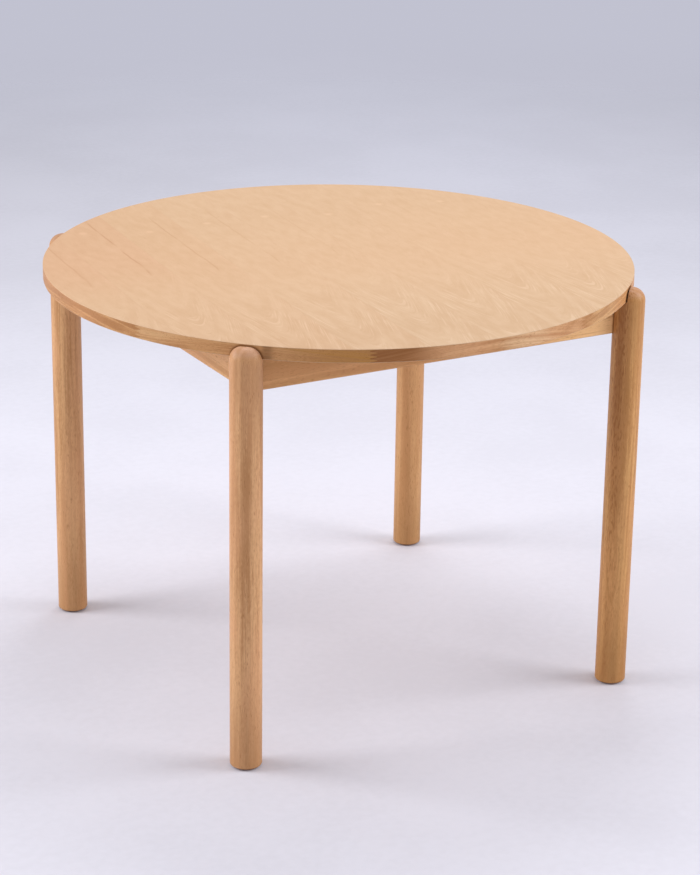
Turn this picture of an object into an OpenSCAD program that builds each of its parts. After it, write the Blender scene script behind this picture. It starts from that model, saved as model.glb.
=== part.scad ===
// Round dining table on four straight round legs.
// The leg heads are domed, stand half outside the rim and are notched, so the top sits on their shoulders.
// Millimetres, +Z up. The origin is on the floor under the middle of the top.
// -Y is the front, +X the right side. The legs stand on the diagonals.

/* [Table] */
// Height of the top surface above the floor
table_h = 750; // [700:5:780]
// Diameter of the round top
top_d = 1050; // [900:10:1250]
// Thickness of the top, veneers included
top_t = 23; // [20:0.5:30]

/* [Face veneer] */
// Thickness of a veneer sheet
veneer_t = 0.8; // [0.6:0.1:1.2]
// Width of one leaf of the face veneer
leaf_w = 119; // [100:1:124]
// Distance of the middle leaf's centre line to the right of the middle of the top
leaf_shift = -10; // [-12:1:12]
// Angle between the veneer's grain and the side aprons, degrees
grain_tilt = 5; // [0:0.5:10]
// Chamfer along the rim of both veneers
rim_chamfer = 0.4; // [0.2:0.1:0.5]

/* [Solid edge] */
// Width of the solid wood edge round the core
lipping_w = 38; // [25:1:60]
// Length of the fingers where two edge pieces meet
finger_l = 12; // [8:1:18]
// Distance from one finger to the next
finger_pitch = 6.4; // [4:0.2:8]
// Width of a finger's blunt tip
finger_tip = 1; // [0.6:0.1:1.4]
// Height of the middle finger below the middle of the edge
finger_drop = 1.3; // [0:0.1:3]

/* [Legs] */
// Diameter of a leg
leg_d = 55; // [45:1:65]
// Distance of a leg's axis outside the rim of the top
leg_out = 1; // [-3:0.5:6]
// Open gap between the rim and the notch in the leg's head
notch_gap = 2; // [1:0.5:4]
// Depth of the leg's head below the top surface
head_drop = 3.5; // [1:0.5:8]
// Radius of the domed edge of the head
crown_r = 22; // [10:1:22]
// Radius round the foot
foot_arris = 4; // [1:0.5:5]
// Clearance between a leg and its seat in the aprons
seat_gap = 0.2; // [0.1:0.1:0.4]

/* [Aprons] */
// Height of an apron
apron_h = 62; // [60:1:80]
// Thickness of an apron
apron_t = 20; // [16:1:26]
// Distance from the line between two leg axes to an apron's outer face
apron_inset = 7; // [4:0.5:12]
// Radius along the apron's lower edges
apron_arris = 2; // [0.5:0.5:4]

/* [Corner blocks] */
// Length of a corner block along each apron
block_run = 52; // [48:1:70]
// Thickness of the block's blunt ends
block_end = 12; // [10:1:18]
// Height of a corner block
block_h = 56; // [52:1:60]
// Thickness of block under the head of a block screw
block_grip = 10; // [8:1:12]
// Distance from the block's end to its screws
screw_edge = 8; // [7:1:10]
// Depth of the upper block screw below the top
screw_drop = 14; // [12:1:16]
// Distance between the upper and the lower block screw
screw_rise = 28; // [24:1:32]
// Length of a block screw under its head
block_screw_l = 24; // [20:1:25]

/* [Hanger bolts] */
// Thread diameter of the hanger bolts
bolt_d = 8; // [6:1:10]
// Depth of the bolt in the leg
bolt_embed = 24; // [18:1:26]
// Depth of the upper bolt below the top
bolt_drop = 16; // [14:1:18]
// Distance between the upper and the lower bolt
bolt_rise = 26; // [25:1:29]
// Length of thread that shows past the nut
bolt_tail = 4; // [2:0.5:8]
// Clearance round the bolt in the block and the aprons
bolt_slack = 0.5; // [0.2:0.1:1]

/* [Angle brackets] */
// Length of each flange
bracket_l = 28; // [24:1:34]
// Width of a bracket
bracket_w = 20; // [16:1:24]
// Thickness of the steel
bracket_t = 2; // [1.5:0.1:2.5]
// Distance of a bracket from the middle of its apron
bracket_y = 130; // [90:5:160]
// Distance from the bend to the screw holes
bracket_hole = 17; // [14:1:18]
// Length of the slot for the screw into the top, beyond its width
bracket_slot = 4; // [1:0.5:6]
// Length of a bracket screw under its head
bracket_screw_l = 14; // [10:1:15]

/* [Screws and glides] */
// Diameter of the wood screws
screw_d = 4; // [3:0.5:4.5]
// Diameter of a glide
glide_d = 38; // [30:1:42]
// Thickness of a glide
glide_t = 2.5; // [2:0.5:5]
// Diameter of a glide's nail
nail_d = 2.2; // [1.8:0.2:2.6]
// Length of a glide's nail under its head
nail_l = 18; // [12:1:24]

/* [Joint clearances] */
// Thickness of a glue line
glue_line = 0.1; // [0.05:0.05:0.2]
// Clearance round a screw, bolt or nail in its hole
hole_gap = 0.1; // [0.05:0.05:0.2]

/* [Hidden] */
// Finishes
VENEER = [0.90, 0.76, 0.62];
EDGE_WOOD = [0.73, 0.54, 0.37];
LEG_WOOD = [0.77, 0.60, 0.43];
APRON_WOOD = [0.70, 0.52, 0.36];
BLOCK_WOOD = [0.80, 0.66, 0.48];
BOARD = [0.72, 0.60, 0.46];
ZINC = [0.78, 0.79, 0.80];
YELLOW_ZINC = [0.80, 0.68, 0.38];
BROWN_PLASTIC = [0.26, 0.17, 0.11];

// How finely curves are drawn: the wide top, the turned legs, the small metal pieces
RIM_FN = 360;
TURNED_FN = 96;
SMALL_FN = 48;
// Length added to cutters so that they pass right through a face
PASS = 1;

// Heights of the top's layers
under_z = table_h - top_t;
core_z = under_z + veneer_t;
core_t = top_t - 2 * veneer_t;
face_z = table_h - veneer_t;

// Leaves of face veneer and the joints between them, from left to right
LEAVES = 9;
leaf_joints = [for (i = [1:LEAVES - 1]) leaf_shift + (i - LEAVES / 2) * leaf_w];

// Plan of the frame: the legs stand on the diagonals, the first with its axis at (leg_c, leg_c)
top_r = top_d / 2;
leg_r = leg_d / 2;
leg_c = (top_r + leg_out) / sqrt(2);
seat_r = leg_r + seat_gap;
notch_x = notch_gap - leg_out;
head_z = table_h - head_drop;
apron_out = leg_c - apron_inset;
apron_in = apron_out - apron_t;
apron_z = under_z - apron_h;

// Corner blocks and the bolts through them; block_face and bolt_end count inwards from the leg's axis
block_c = apron_in - glue_line;
block_z = under_z - block_h;
block_face = (2 * (leg_c - block_c) + block_run + block_end) / sqrt(2);
bolt_r = bolt_d / 2;
bolt_zs = [for (i = [0, 1]) under_z - bolt_drop - i * bolt_rise];
block_screw_zs = [for (i = [0, 1]) under_z - screw_drop - i * screw_rise];
washer_r = 1.25 * bolt_d;
washer_t = 0.2 * bolt_d;
nut_flats = 1.625 * bolt_d;
nut_h = 0.8 * bolt_d;
bolt_end = block_face + washer_t + nut_h + bolt_tail;

// Screws, brackets and nails
screw_r = screw_d / 2;
screw_head_r = screw_d;
screw_head_h = 0.6 * screw_d;
recess_w = 0.3 * screw_d;
counterbore_r = screw_head_r + 0.75;
bend_r = 1 + bracket_t;
nail_r = nail_d / 2;
nail_head_r = 3 * nail_r;
nail_z = glide_t / 2;

// Names of the pieces, anticlockwise seen from above
CORNERS = ["back_right", "back_left", "front_left", "front_right"];
SIDES = ["right", "back", "left", "front"];
RIM = ["right", "back_right", "back", "back_left", "left", "front_left", "front", "front_right"];

function named(stem, ends) = [for (e = ends) str(stem, "_", e)];

// Turns a piece of the first side or corner to side or corner k
module quarter(k) {
    rotate([0, 0, 90 * k]) children();
}

// Repeats children mirrored about the middle of an apron
module both_ends() {
    children();
    mirror([0, 1, 0]) children();
}

// Repeats children mirrored about a corner's diagonal
module both_ears() {
    children();
    mirror([1, -1, 0]) children();
}

// Local frame of the first leg: its axis is Z, the middle of the table lies along -X
module on_leg_axis() {
    translate([leg_c, leg_c, 0]) rotate([0, 0, 45]) children();
}

// Bar of radius r towards the middle of the table, from distance a to distance b inside the leg's axis
module inward_rod(r, a, b, z) {
    on_leg_axis() translate([-b, 0, z]) rotate([0, 90, 0]) cylinder(r = r, h = b - a, $fn = SMALL_FN);
}

// Disc of veneer; its chamfered rim is above when face_up is true and below when it is false
module veneer_disc(face_up) {
    low = face_up ? 0 : rim_chamfer;
    high = rim_chamfer - low;
    rotate_extrude($fn = RIM_FN)
        polygon(concat([[0, 0], [top_r - low, 0]],
                       [face_up ? [top_r, veneer_t - high] : [top_r, low]],
                       [[top_r - high, veneer_t], [0, veneer_t]]));
}

// One leaf of the face veneer; the outer two run out to the rim
module veneer_leaf(i) {
    low = i == 1 ? -top_r - PASS : leaf_joints[i - 2] + glue_line / 2;
    high = i == LEAVES ? top_r + PASS : leaf_joints[i - 1] - glue_line / 2;
    color(VENEER)
    translate([0, 0, face_z])
    intersection() {
        veneer_disc(true);
        rotate([0, 0, -grain_tilt])
            translate([low, -top_r - PASS, -PASS])
            cube([high - low, 2 * (top_r + PASS), veneer_t + 2 * PASS]);
    }
}

// A bracket's screw into the top; children point along +Z from under its head
module at_top_screw() {
    translate([apron_in - bracket_hole, bracket_y, under_z - bracket_t]) children();
}

// A bracket's screw into the right apron; children point along +Z from under its head
module at_apron_screw() {
    translate([apron_in - bracket_t, bracket_y, under_z - bracket_hole]) rotate([0, 90, 0]) children();
}

module at_every_bracket() {
    for (k = [0:3]) quarter(k) both_ends() children();
}

module top_screw_pilots() {
    at_every_bracket() at_top_screw()
        cylinder(r = screw_r + hole_gap, h = bracket_screw_l + PASS, $fn = SMALL_FN);
}

module top_core() {
    color(BOARD)
    difference() {
        translate([0, 0, core_z]) cylinder(r = top_r - lipping_w - glue_line, h = core_t, $fn = RIM_FN);
        top_screw_pilots();
    }
}

module underside_veneer() {
    color(VENEER)
    difference() {
        translate([0, 0, under_z]) veneer_disc(false);
        top_screw_pilots();
    }
}

// Zigzag of the fingers as points [along the rim, height]; slack narrows and shortens them
function fingers(slack) =
    let (middle = core_z + core_t / 2 - finger_drop)
    let (n = ceil((core_t / 2 + finger_drop) / finger_pitch))
    let (tip = finger_tip / 2 - slack, root = (finger_pitch - finger_tip) / 2 - slack)
    let (start = -finger_l / 2 - slack, end = finger_l / 2 - slack)
    [for (i = [-n:n]) let (z = middle + i * finger_pitch)
        each [[start, z - root], [end, z - tip], [end, z + tip], [start, z + root]]];

// Cuts an edge piece off along the zigzag: side 1 takes what lies after the joint, side -1 what lies before
module finger_cutter(side) {
    zigzag = fingers(side * glue_line / 2);
    far = side * 2 * finger_l;
    translate([top_r - lipping_w - PASS, 0, 0])
        rotate([90, 0, 90])
        linear_extrude(lipping_w + 2 * PASS)
        polygon(concat(zigzag, [[far, zigzag[len(zigzag) - 1][1]], [far, zigzag[0][1]]]));
}

// Curved edge piece, an eighth of the rim, with interlocking fingers at both ends
module lipping(j) {
    half = 180 / len(RIM);
    spare = finger_l / (top_r - lipping_w) * 180 / PI;
    color(EDGE_WOOD)
    rotate([0, 0, 2 * half * j])
    difference() {
        rotate([0, 0, -half - spare])
            rotate_extrude(angle = 2 * (half + spare), $fn = RIM_FN)
            translate([top_r - lipping_w, core_z]) square([lipping_w, core_t]);
        rotate([0, 0, half]) finger_cutter(1);
        rotate([0, 0, -half]) finger_cutter(-1);
    }
}

// Quarter disc that rounds an outer corner, the upper one when up is true and the lower one when it is false
module rounding(r, up) {
    intersection() {
        circle(r = r, $fn = TURNED_FN);
        translate([0, up ? 0 : -r]) square(r);
    }
}

// Half outline of a turned piece standing on z = 0, with rounded lower and upper edges
module turned_outline(r, h, low_r, high_r) {
    square([r - low_r, low_r]);
    translate([r - low_r, low_r]) rounding(low_r, false);
    translate([0, low_r]) square([r, h - low_r - high_r]);
    translate([0, h - high_r]) square([r - high_r, high_r]);
    translate([r - high_r, h - high_r]) rounding(high_r, true);
}

module leg(k) {
    color(LEG_WOOD)
    quarter(k) difference() {
        on_leg_axis() difference() {
            translate([0, 0, glide_t])
                rotate_extrude($fn = TURNED_FN)
                turned_outline(leg_r, head_z - glide_t, foot_arris, crown_r);
            // Notch for the rim of the top: its floor is the shoulder that carries the top
            translate([-leg_r - PASS, -leg_r - PASS, under_z])
                cube([leg_r + PASS + notch_x, leg_d + 2 * PASS, top_t]);
            cylinder(r = nail_r + hole_gap, h = nail_z + nail_l + PASS, $fn = SMALL_FN);
        }
        for (z = bolt_zs)
            inward_rod(bolt_r + hole_gap, leg_r - bolt_embed - hole_gap, leg_r + PASS, z);
    }
}

// Rectangle from the origin with its two lower corners rounded
module round_bottomed(w, h, r) {
    translate([0, r]) square([w, h - r]);
    translate([r, 0]) square([w - 2 * r, r]);
    for (x = [r, w - r]) translate([x, r]) circle(r = r, $fn = SMALL_FN);
}

// The two block screws at the back end of the right apron; children point along +Z from under a head
module at_block_screws() {
    for (z = block_screw_zs)
        translate([block_c - block_grip, block_c - block_run + screw_edge, z]) rotate([0, 90, 0]) children();
}

// Apron between two legs, mitred at its ends and bored there for the legs
module apron(k) {
    low = apron_in - glue_line;
    high = apron_out - glue_line;
    color(APRON_WOOD)
    quarter(k) difference() {
        intersection() {
            translate([0, 0, apron_z])
                linear_extrude(apron_h)
                polygon([[apron_in, -low], [apron_out, -high], [apron_out, high], [apron_in, low]]);
            translate([apron_in, apron_out, apron_z])
                rotate([90, 0, 0])
                linear_extrude(2 * apron_out)
                round_bottomed(apron_t, apron_h, apron_arris);
        }
        both_ends() {
            translate([leg_c, leg_c, apron_z - PASS])
                cylinder(r = seat_r, h = apron_h + 2 * PASS, $fn = TURNED_FN);
            for (z = bolt_zs) inward_rod(bolt_r + bolt_slack, 0, block_face, z);
            at_block_screws() cylinder(r = screw_r + hole_gap, h = block_screw_l + hole_gap, $fn = SMALL_FN);
            at_apron_screw() cylinder(r = screw_r + hole_gap, h = bracket_screw_l + hole_gap, $fn = SMALL_FN);
        }
    }
}

// Block behind a leg: two ears along the aprons and a slanted face for the nuts
module corner_block(k) {
    c = block_c;
    run = block_run;
    end = block_end;
    color(BLOCK_WOOD)
    quarter(k) difference() {
        translate([0, 0, block_z])
            linear_extrude(block_h)
            polygon([[c, c], [c - run, c], [c - run, c - end], [c - end, c - run], [c, c - run]]);
        for (z = bolt_zs) inward_rod(bolt_r + bolt_slack, 0, block_face + PASS, z);
        both_ears() at_block_screws() {
            cylinder(r = screw_r + hole_gap, h = block_grip + PASS, $fn = SMALL_FN);
            translate([0, 0, -run]) cylinder(r = counterbore_r, h = run, $fn = SMALL_FN);
        }
    }
}

// Two bolts of a corner: a pointed wood end in the leg, a bevelled machine end in the nut
module hanger_bolts(k) {
    length = bolt_end - leg_r + bolt_embed;
    bevel = bolt_d / 8;
    color(ZINC)
    quarter(k) on_leg_axis()
    for (z = bolt_zs)
        translate([-bolt_end, 0, z]) rotate([0, 90, 0])
        rotate_extrude($fn = SMALL_FN)
        polygon([[0, 0], [bolt_r - bevel, 0], [bolt_r, bevel], [bolt_r, length - bolt_d], [0, length]]);
}

module washers() {
    color(ZINC)
    for (k = [0:3], z = bolt_zs)
        quarter(k) difference() {
            inward_rod(washer_r, block_face, block_face + washer_t, z);
            inward_rod(bolt_r + 2 * hole_gap, block_face - PASS, block_face + washer_t + PASS, z);
        }
}

// Hexagon nut with both faces bevelled at the corners
module hex_nut() {
    flat = nut_flats / 2;
    corner = flat / cos(30);
    bevel = (corner - flat) * tan(30);
    difference() {
        intersection() {
            cylinder(r = corner, h = nut_h, $fn = 6);
            rotate_extrude($fn = SMALL_FN)
                polygon([[0, 0], [flat, 0], [corner, bevel],
                         [corner, nut_h - bevel], [flat, nut_h], [0, nut_h]]);
        }
        translate([0, 0, -PASS]) cylinder(r = bolt_r + hole_gap, h = nut_h + 2 * PASS, $fn = SMALL_FN);
    }
}

module hex_nuts() {
    color(ZINC)
    for (k = [0:3], z = bolt_zs)
        quarter(k) on_leg_axis()
        translate([-block_face - washer_t - nut_h, 0, z]) rotate([0, 90, 0]) hex_nut();
}

// Round-headed wood screw along +Z with a cross recess; the underside of its head is at the origin
module wood_screw(length) {
    difference() {
        rotate_extrude($fn = SMALL_FN)
            polygon([[0, -screw_head_h], [0.6 * screw_head_r, -screw_head_h],
                     [0.9 * screw_head_r, -screw_head_h / 2], [screw_head_r, 0],
                     [screw_r, 0], [screw_r, length - screw_d], [0, length]]);
        for (a = [0, 90])
            rotate([0, 0, a])
            translate([-screw_r, -recess_w / 2, -screw_head_h - PASS])
            cube([screw_d, recess_w, PASS + 0.6 * screw_head_h]);
    }
}

module block_screws(k) {
    color(YELLOW_ZINC)
    quarter(k) both_ears() at_block_screws() wood_screw(block_screw_l);
}

// Flat flange from the bend along +X with rounded free corners and a screw hole, drawn out to a slot if asked
module flange(slot = 0) {
    corner_r = bracket_w / 4;
    hole_r = screw_r + 2 * hole_gap;
    end = bracket_l - bend_r;
    difference() {
        translate([bend_r, 0, 0]) linear_extrude(bracket_t) {
            translate([0, -bracket_w / 2]) square([end - corner_r, bracket_w]);
            translate([0, corner_r - bracket_w / 2]) square([end, bracket_w - 2 * corner_r]);
            for (y = [corner_r - bracket_w / 2, bracket_w / 2 - corner_r])
                translate([end - corner_r, y]) circle(r = corner_r, $fn = SMALL_FN);
        }
        translate([bracket_hole, 0, -PASS]) linear_extrude(bracket_t + 2 * PASS) {
            for (y = slot > 0 ? [-slot / 2, slot / 2] : [0])
                translate([0, y]) circle(r = hole_r, $fn = SMALL_FN);
            if (slot > 0) square([2 * hole_r, slot], center = true);
        }
    }
}

// Bent steel angle: its outer corner is at the origin, the slotted flange along +X, the other along +Z
module angle_bracket() {
    flange(bracket_slot);
    mirror([1, 0, -1]) flange();
    translate([bend_r, bracket_w / 2, bend_r])
        rotate([90, 0, 0])
        rotate_extrude(angle = 90, start = 180, $fn = SMALL_FN)
        translate([bend_r - bracket_t, 0]) square([bracket_t, bracket_w]);
}

module angle_brackets(k) {
    color(ZINC)
    quarter(k) both_ends()
    translate([apron_in, bracket_y, under_z]) rotate([0, 180, 0]) angle_bracket();
}

module bracket_screws() {
    color(YELLOW_ZINC)
    at_every_bracket() {
        at_top_screw() wood_screw(bracket_screw_l);
        at_apron_screw() wood_screw(bracket_screw_l);
    }
}

// Glide with a well rounded lower edge, a hole for its nail and a recess for the nail's head
module glide(k) {
    color(BROWN_PLASTIC)
    quarter(k) on_leg_axis() difference() {
        rotate_extrude($fn = TURNED_FN) turned_outline(glide_d / 2, glide_t, glide_t / 2, glide_t / 10);
        translate([0, 0, -PASS]) {
            cylinder(r = nail_r + hole_gap, h = glide_t + 2 * PASS, $fn = SMALL_FN);
            cylinder(r = nail_head_r + hole_gap, h = nail_z + PASS, $fn = SMALL_FN);
        }
    }
}

module glide_nails() {
    color(ZINC)
    for (k = [0:3])
        quarter(k) on_leg_axis()
        translate([0, 0, nail_z])
        rotate_extrude($fn = SMALL_FN)
        polygon([[0, -nail_r / 2], [nail_head_r, -nail_r / 2], [nail_head_r, 0], [nail_r, 0],
                 [nail_r, nail_l - nail_d], [0, nail_l]]);
}

for (i = [1:LEAVES]) veneer_leaf(i);
top_core();
underside_veneer();
for (j = [0:len(RIM) - 1]) lipping(j);
for (k = [0:3]) leg(k);
for (k = [0:3]) apron(k);
for (k = [0:3]) corner_block(k);
for (k = [0:3]) hanger_bolts(k);
for (k = [0:3]) block_screws(k);
for (k = [0:3]) angle_brackets(k);
for (k = [0:3]) glide(k);
washers();
hex_nuts();
bracket_screws();
glide_nails();
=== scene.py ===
# %% [markdown]
# # A round dining table, dressed in wood
#
# The construction of this table already exists as a frame of exact solids: legs, aprons, the round top
# with its edge pieces, and the steel that holds them together. This lesson gives those solids their
# finish. Each step first says what the real thing is, and then shows how Blender can make it.
#
# Nothing here is a picture wrapped round the wood. Every figure in the grain is worked out from the
# place of a point inside its own board, just as a saw uncovers layers that were already in the tree.

# %% Load the frame
import math

import bmesh
import bpy
from mathutils import Matrix, Vector


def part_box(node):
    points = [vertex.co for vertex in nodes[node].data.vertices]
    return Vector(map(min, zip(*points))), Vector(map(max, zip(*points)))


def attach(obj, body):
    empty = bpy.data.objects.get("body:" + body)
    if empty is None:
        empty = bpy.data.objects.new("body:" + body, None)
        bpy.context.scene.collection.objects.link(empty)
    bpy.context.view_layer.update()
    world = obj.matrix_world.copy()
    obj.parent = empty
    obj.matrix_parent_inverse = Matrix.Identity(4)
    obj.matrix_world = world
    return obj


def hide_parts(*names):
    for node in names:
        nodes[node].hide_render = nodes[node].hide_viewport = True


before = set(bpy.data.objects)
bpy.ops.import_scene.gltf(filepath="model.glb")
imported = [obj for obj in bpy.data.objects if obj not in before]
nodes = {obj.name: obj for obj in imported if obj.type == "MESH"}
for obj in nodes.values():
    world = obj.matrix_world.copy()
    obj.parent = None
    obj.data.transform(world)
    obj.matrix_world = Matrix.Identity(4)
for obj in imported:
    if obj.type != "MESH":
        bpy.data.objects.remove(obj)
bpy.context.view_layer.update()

# %% [markdown]
# ## Sizes that the frame already knows
#
# A finish has to fit its piece, so the few sizes that the finishes share are read from the frame and
# never typed in. The top is round and stands on the middle of the frame, the legs stand on the
# diagonals, and the pieces carry the names of their places.

# %% Read the shared sizes
MM = 0.001
RIGHTWARD = Vector((1.0, 0.0, 0.0))
BACKWARD = Vector((0.0, 1.0, 0.0))
UP = Vector((0.0, 0.0, 1.0))
DOWN = Vector((0.0, 0.0, -1.0))
CORNERS = ["back_right", "back_left", "front_left", "front_right"]
SIDES = ["right", "back", "left", "front"]
RIM = ["right", "back_right", "back", "back_left", "left", "front_left", "front", "front_right"]

top_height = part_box("veneer_leaf_5")[1].z
top_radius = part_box("veneer_leaf_5")[1].y
leg_low, leg_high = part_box("leg_front_right")
leg_radius = (leg_high.x - leg_low.x) / 2
leg_place = leg_high.x - leg_radius
print("top radius", round(top_radius, 4), "m, legs", round(2 * leg_radius, 4), "m thick")

# %% [markdown]
# ## The camera
#
# The photograph was taken with a long lens from a little over two metres up. A long lens far away keeps
# the legs nearly parallel, which a short lens close by would splay. The place, the heading and the tilt
# below come from matching the round rim and the straight legs. The focal length is known in pixels of
# the picture's long side, so it is turned into Blender's millimetres with the width of the sensor.

# %% Place the camera
PICTURE_HEIGHT = 875
FOCAL_PIXELS = 2620.2
SENSOR = 36.0
CAMERA_PLACE = Vector((-2.1667, -3.9455, 2.0457))
HEADING = math.radians(29.085)
PITCH = math.radians(19.969)
ROLL = math.radians(0.843)


def turned_place(turn, distance, height=0.0):
    """A place at a distance and a height. turn counts to the right from the back of the table."""
    return Vector((distance * math.sin(turn), distance * math.cos(turn), height))


view = turned_place(HEADING, math.cos(PITCH), -math.sin(PITCH))
level = Vector((math.cos(HEADING), -math.sin(HEADING), 0.0))
upright = level.cross(view)
right = level * math.cos(ROLL) + upright * math.sin(ROLL)
up = upright * math.cos(ROLL) - level * math.sin(ROLL)
aimed = Matrix((right, up, -view)).transposed().to_4x4()

camera_data = bpy.data.cameras.new("camera")
camera_data.sensor_width = SENSOR
camera_data.lens = FOCAL_PIXELS * SENSOR / PICTURE_HEIGHT
camera = bpy.data.objects.new("camera", camera_data)
camera.matrix_world = Matrix.Translation(CAMERA_PLACE) @ aimed
bpy.context.scene.collection.objects.link(camera)
bpy.context.scene.camera = camera
print("lens", round(camera_data.lens, 1), "mm")

# %% [markdown]
# ## Shader maths that reads like maths
#
# A material in Blender is a graph of nodes, and even a short formula takes a dozen Math nodes. The
# small class below wraps one output of a node. Python's own operators are overloaded, so `2 * a - b`
# adds the Multiply and the Subtract node and links them. The reflected forms are there too, so that
# `1 - mask` works.

# %% A value that does arithmetic
class Value:
    """One output of a node. Each operation on it adds a node and returns that node's output."""

    def __init__(self, graph, socket):
        self.graph = graph
        self.socket = socket

    def math(self, operation, *others):
        sockets = dict(enumerate((self, *others)))
        return self.graph.add("ShaderNodeMath", {"operation": operation}, sockets)

    def __add__(self, other):
        return self.math("ADD", other)

    def __sub__(self, other):
        return self.math("SUBTRACT", other)

    def __rsub__(self, other):
        return self.graph.add("ShaderNodeMath", {"operation": "SUBTRACT"}, {0: other, 1: self})

    def __mul__(self, other):
        return self.math("MULTIPLY", other)

    def __truediv__(self, other):
        return self.math("DIVIDE", other)

    def __pow__(self, other):
        return self.math("POWER", other)

    __radd__ = __add__
    __rmul__ = __mul__

    def size(self):
        return self.math("ABSOLUTE")

    def between(self, zero, one):
        """0 on the far side of one number, 1 on the far side of the other, and a soft step between."""
        sockets = {"Value": self, "From Min": zero, "From Max": one}
        return self.graph.add("ShaderNodeMapRange", {"interpolation_type": "SMOOTHSTEP"}, sockets)


# %% [markdown]
# ## One way to add a node
#
# The class `Graph` fills the nodes of one owner, which is a material or the world. Its method `add`
# makes any node: first the settings, such as a Math node's operation, then the sockets, which take
# either a number or another value.
#
# Both the floor and the world have to look one way to the eye and light the table in another. Blender
# knows what each ray is for, so the second method adds up the rays that end in an eye.

# %% A graph of nodes
class Graph:
    """The nodes of a material or of the world."""

    def __init__(self, owner):
        self.owner = owner
        owner.use_nodes = True
        self.tree = owner.node_tree
        self.tree.nodes.clear()

    def add(self, kind, settings=None, sockets=None, output=0):
        """Adds a node, sets it, links it and returns one of its outputs, if it has any."""
        node = self.tree.nodes.new(kind)
        for name, setting in (settings or {}).items():
            setattr(node, name, setting)
        for name, value in (sockets or {}).items():
            if isinstance(value, Value):
                self.tree.links.new(value.socket, node.inputs[name])
            else:
                node.inputs[name].default_value = value
        return Value(self, node.outputs[output]) if len(node.outputs) else None

    def looked_at(self):
        """1 for rays from the camera, from a gloss or through glass, and 0 for the light itself."""
        camera_ray, glossy_ray, glass_ray = (
            self.add("ShaderNodeLightPath", output=f"Is {kind} Ray")
            for kind in ("Camera", "Glossy", "Transmission"))
        return camera_ray + glossy_ray + glass_ray


# %% [markdown]
# ## A finish has a few words of its own
#
# A `Finish` is the graph of one material. Its methods are the words that this lesson needs most: a
# distance along a direction, a cloud of noise, a blend of two colours, a bump, and the surface itself.
#
# Colours never pass through a Math node, which would turn them grey. They go through Mix.

# %% A finish and its words
MIX_FACTOR, MIX_A, MIX_B, MIX_COLOUR = 0, 6, 7, 2


class Finish(Graph):
    """One material, and the ways in which this lesson describes it."""

    def __init__(self, name):
        super().__init__(bpy.data.materials.new(name))
        self.place = self.add("ShaderNodeTexCoord", output="Object")

    def along(self, direction, vector=None):
        """How far the place, or another vector, reaches in a direction."""
        sockets = {0: vector or self.place, 1: direction}
        return self.add("ShaderNodeVectorMath", {"operation": "DOT_PRODUCT"}, sockets, "Value")

    def noise(self, x, y=0.0, z=0.0, detail=1.0):
        """Soft random values round 0.5 that change over a length of about one in x, y and z."""
        place = self.add("ShaderNodeCombineXYZ", None, {0: x, 1: y, 2: z})
        sockets = {"Vector": place, "Scale": 1.0, "Detail": detail}
        return self.add("ShaderNodeTexNoise", None, sockets)

    def blend(self, mask, under, over, way="MIX"):
        """One colour where the mask is 0 and the other where it is 1."""
        settings = {"data_type": "RGBA", "blend_type": way}
        sockets = {MIX_FACTOR: mask, MIX_A: under, MIX_B: over}
        return self.add("ShaderNodeMix", settings, sockets, MIX_COLOUR)

    def bump(self, height, strength, depth):
        sockets = {"Height": height, "Strength": strength, "Distance": depth}
        return self.add("ShaderNodeBump", None, sockets)

    def surface(self, **sockets):
        """The surface itself. Underscores in the names stand for the spaces in Blender's own."""
        named = {name.replace("_", " "): value for name, value in sockets.items()}
        return self.close(self.add("ShaderNodeBsdfPrincipled", None, named))

    def close(self, shader):
        """Ends the graph in a shader and returns the material."""
        self.add("ShaderNodeOutputMaterial", None, {"Surface": shader})
        return self.owner


# %% [markdown]
# ## Tones
#
# A tint is a share for each of red, green and blue, like a thin glaze over a colour. Two tints come back
# all through the wood: fresh wood with a little less green in it looks rosy, and the bottom of a pore is
# not only darker than the wood round it but redder too.

# %% Name the tones and the tints
ROSY = (1.0, 0.91, 0.95)
# DUSKY, taken twice, also gives the tone of the painted shade in the solid wood.
DUSKY = (0.74, 0.64, 0.55)


def colour(red, green, blue):
    """A colour as Blender's sockets take it: linear light, and no transparency."""
    return (red, green, blue, 1.0)


def tinted(tone, tint):
    """The same colour seen through a tint."""
    return colour(*(part * share for part, share in zip(tone, tint)))


def shade(tone, share):
    """The same colour with a share of its light."""
    return tinted(tone, (share, share, share))


# %% [markdown]
# ## Where wood differs from the rest of its board
#
# Two marks are painted shade. Beside a leg the light is cut off, so a thin dark line is painted in the gap
# and a soft shade round it. The small bevels that look down are painted darker as well. A board can also
# have a paler or darker patch of its own, such as heartwood at one end. A patch is a share that comes and
# goes along the board.
# The crown of a leg is a disc with a rounded edge. The distance to it is the distance to the flat part,
# less the radius of the rounding, which is all that the shade needs to know.

# %% Painted shade and patches
CROWN = 22 * MM


def near_leg(finish, width):
    """The share of shadow beside a leg's round and its dome, from the nearest of the four legs."""
    beside = finish.along(RIGHTWARD).size() - leg_place
    behind = finish.along(BACKWARD).size() - leg_place
    from_axis = (beside * beside + behind * behind) ** 0.5
    outward = (from_axis - (leg_radius - CROWN)).math("MAXIMUM", 0.0)
    upward = (finish.along(UP) - (leg_high.z - CROWN)).math("MAXIMUM", 0.0)
    off = (outward * outward + upward * upward) ** 0.5 - CROWN
    return off.between(3.5 * MM, 0.5 * MM) * 0.5 + off.between(width, 0.0) * 0.25


# Painted shade: the bevels that look down are darkened, as shade under the rim would darken them.
def lower_arris(finish, normal):
    """1 on the small bevels that look down and out, and 0 on faces that look straight down."""
    down = finish.along(DOWN, normal)
    return down.between(0.35, 0.60) * down.between(0.95, 0.80)


def lengthwise(share, *steps):
    """A patch that comes and goes along the board. Each step is where it is absent and full, in mm."""
    def at(finish, along, across, through):
        whole = share
        for absent, full in steps:
            whole = along.between(absent * MM, full * MM) * whole
        return whole
    return at


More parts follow.
